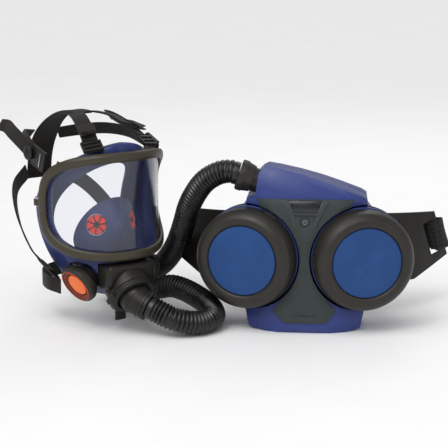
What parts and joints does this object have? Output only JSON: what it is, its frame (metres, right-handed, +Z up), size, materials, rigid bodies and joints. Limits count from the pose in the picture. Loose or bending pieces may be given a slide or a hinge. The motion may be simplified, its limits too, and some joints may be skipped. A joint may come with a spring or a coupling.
{
  "type": "powered air respirator",
  "caption": "Full-face respirator mask with harness, joined by a breathing hose to a belt-worn fan unit with round filters.",
  "frame": {"origin": "middle of the fan unit's flat foot", "axes": "+Z up, the fan unit's front faces -Y, the mask stands beside it at -X and faces between -Y and +X"},
  "size_m": [0.5421, 0.2201, 0.2496],
  "materials": {
    "blue_shell": "semi-gloss indigo blue moulding",
    "blue_cover": "fine-textured blue moulding",
    "grey_panel": "fine-textured dark grey moulding",
    "display": "glossy dark window",
    "black_plastic": "satin black moulding",
    "black_rubber": "matt black rubber",
    "black_strap": "woven black webbing",
    "steel": "bright steel",
    "filter_media": "white fibrous pad",
    "circuit_board": "green laminate",
    "clear_visor": "clear polycarbonate",
    "frame_plastic": "satin brown-grey moulding",
    "blue_silicone": "soft blue silicone",
    "orange": "orange moulding",
    "red_membrane": "red rubber membrane"
  },
  "bodies": {
    "fan_unit_and_mask": {"front_shell": "blue_shell", "rear_shell": "blue_shell", "centre_panel": "grey_panel", "display_window": "display", "outlet_spigot": "black_plastic", "volute": "black_plastic", "belt_plate": "black_plastic", "buckle_socket": "black_plastic", "buckle_plug": "black_plastic", "chin_housing": "black_plastic", "elbow": "black_plastic", "hose_clip": "black_plastic", "exhale_body_left": "black_plastic", "exhale_body_right": "black_plastic", "forehead_buckle_left": "black_plastic", "forehead_buckle_right": "black_plastic", "lower_buckle_left": "black_plastic", "lower_buckle_right": "black_plastic", "filter_seat_left": "black_rubber", "filter_seat_right": "black_rubber", "hose": "black_rubber", "webbing_left": "black_strap", "webbing_right": "black_strap", "head_pad": "black_strap", "forehead_strap_left": "black_strap", "forehead_strap_right": "black_strap", "temple_strap_left": "black_strap", "temple_strap_right": "black_strap", "lower_strap_left": "black_strap", "lower_strap_right": "black_strap", "neck_strap": "black_strap", "motor": "steel", "screw_left": "steel", "screw_right": "steel", "speech_diaphragm": "steel", "circuit_board": "circuit_board", "visor": "clear_visor", "frame_upper": "frame_plastic", "frame_lower": "frame_plastic", "facepiece": "blue_silicone", "inner_mask": "blue_silicone", "inhale_valve_left": "red_membrane", "inhale_valve_right": "red_membrane"},
    "filter_left": {"filter_cartridge_left": "blue_shell", "filter_holder_left": "black_plastic", "filter_cover_left": "blue_cover", "prefilter_left": "filter_media"},
    "filter_right": {"filter_cartridge_right": "blue_shell", "filter_holder_right": "black_plastic", "filter_cover_right": "blue_cover", "prefilter_right": "filter_media"},
    "fan_wheel": {"impeller": "black_plastic"},
    "button": {"power_button": "grey_panel"},
    "battery": {"battery_pack": "black_plastic"},
    "collar": {"outlet_collar": "black_plastic"},
    "lock_ring": {"connector_ring": "black_plastic"},
    "exhale_left": {"exhale_disc_left": "orange"},
    "exhale_right": {"exhale_disc_right": "orange"},
    "temple_left": {"temple_buckle_left": "black_plastic"},
    "temple_right": {"temple_buckle_right": "black_plastic"}
  },
  "joints": [
    {"name": "left_filter_turn", "type": "hinge", "parent": "fan_unit_and_mask", "child": "filter_left", "pos_m": [-0.061, -0.01, 0.087], "axis": [-0.2588, -0.9659, 0], "range_deg": [0, 90]},
    {"name": "right_filter_turn", "type": "hinge", "parent": "fan_unit_and_mask", "child": "filter_right", "pos_m": [0.061, -0.01, 0.087], "axis": [0.2588, -0.9659, 0], "range_deg": [0, 90]},
    {"name": "fan_spin", "type": "hinge", "parent": "fan_unit_and_mask", "child": "fan_wheel", "pos_m": [0, 0.019, 0.112], "axis": [0, 1, 0], "continuous": true},
    {"name": "button_press", "type": "slide", "parent": "fan_unit_and_mask", "child": "button", "axis": [0, 1, 0], "range_m": [0, 0.0012], "stiffness_N_per_m": 500},
    {"name": "battery_slide", "type": "slide", "parent": "fan_unit_and_mask", "child": "battery", "axis": [0, 0, -1], "range_m": [0, 0.06]},
    {"name": "outlet_collar_turn", "type": "hinge", "parent": "fan_unit_and_mask", "child": "collar", "pos_m": [-0.06, -0.006, 0.174], "axis": [-0.9453, 0, 0.3261], "range_deg": [0, 90]},
    {"name": "lock_ring_turn", "type": "hinge", "parent": "fan_unit_and_mask", "child": "lock_ring", "pos_m": [-0.20147, -0.05045, 0.05], "axis": [0.5272, -0.5855, -0.6159], "range_deg": [0, 90]},
    {"name": "exhale_left_lift", "type": "slide", "parent": "fan_unit_and_mask", "child": "exhale_left", "axis": [-0.5562, -0.6903, -0.4628], "range_m": [0, 0.0015], "stiffness_N_per_m": 150},
    {"name": "exhale_right_lift", "type": "slide", "parent": "fan_unit_and_mask", "child": "exhale_right", "axis": [0.7447, 0.481, -0.4628], "range_m": [0, 0.0015], "stiffness_N_per_m": 150},
    {"name": "temple_buckle_left_tilt", "type": "hinge", "parent": "fan_unit_and_mask", "child": "temple_left", "pos_m": [-0.29518, -0.06121, 0.19882], "axis": [0.2156, -0.2395, 0.9466], "range_deg": [0, 35]},
    {"name": "temple_buckle_right_tilt", "type": "hinge", "parent": "fan_unit_and_mask", "child": "temple_right", "pos_m": [-0.18097, 0.04163, 0.19882], "axis": [-0.2156, 0.2395, -0.9466], "range_deg": [0, 35]}
  ]
}
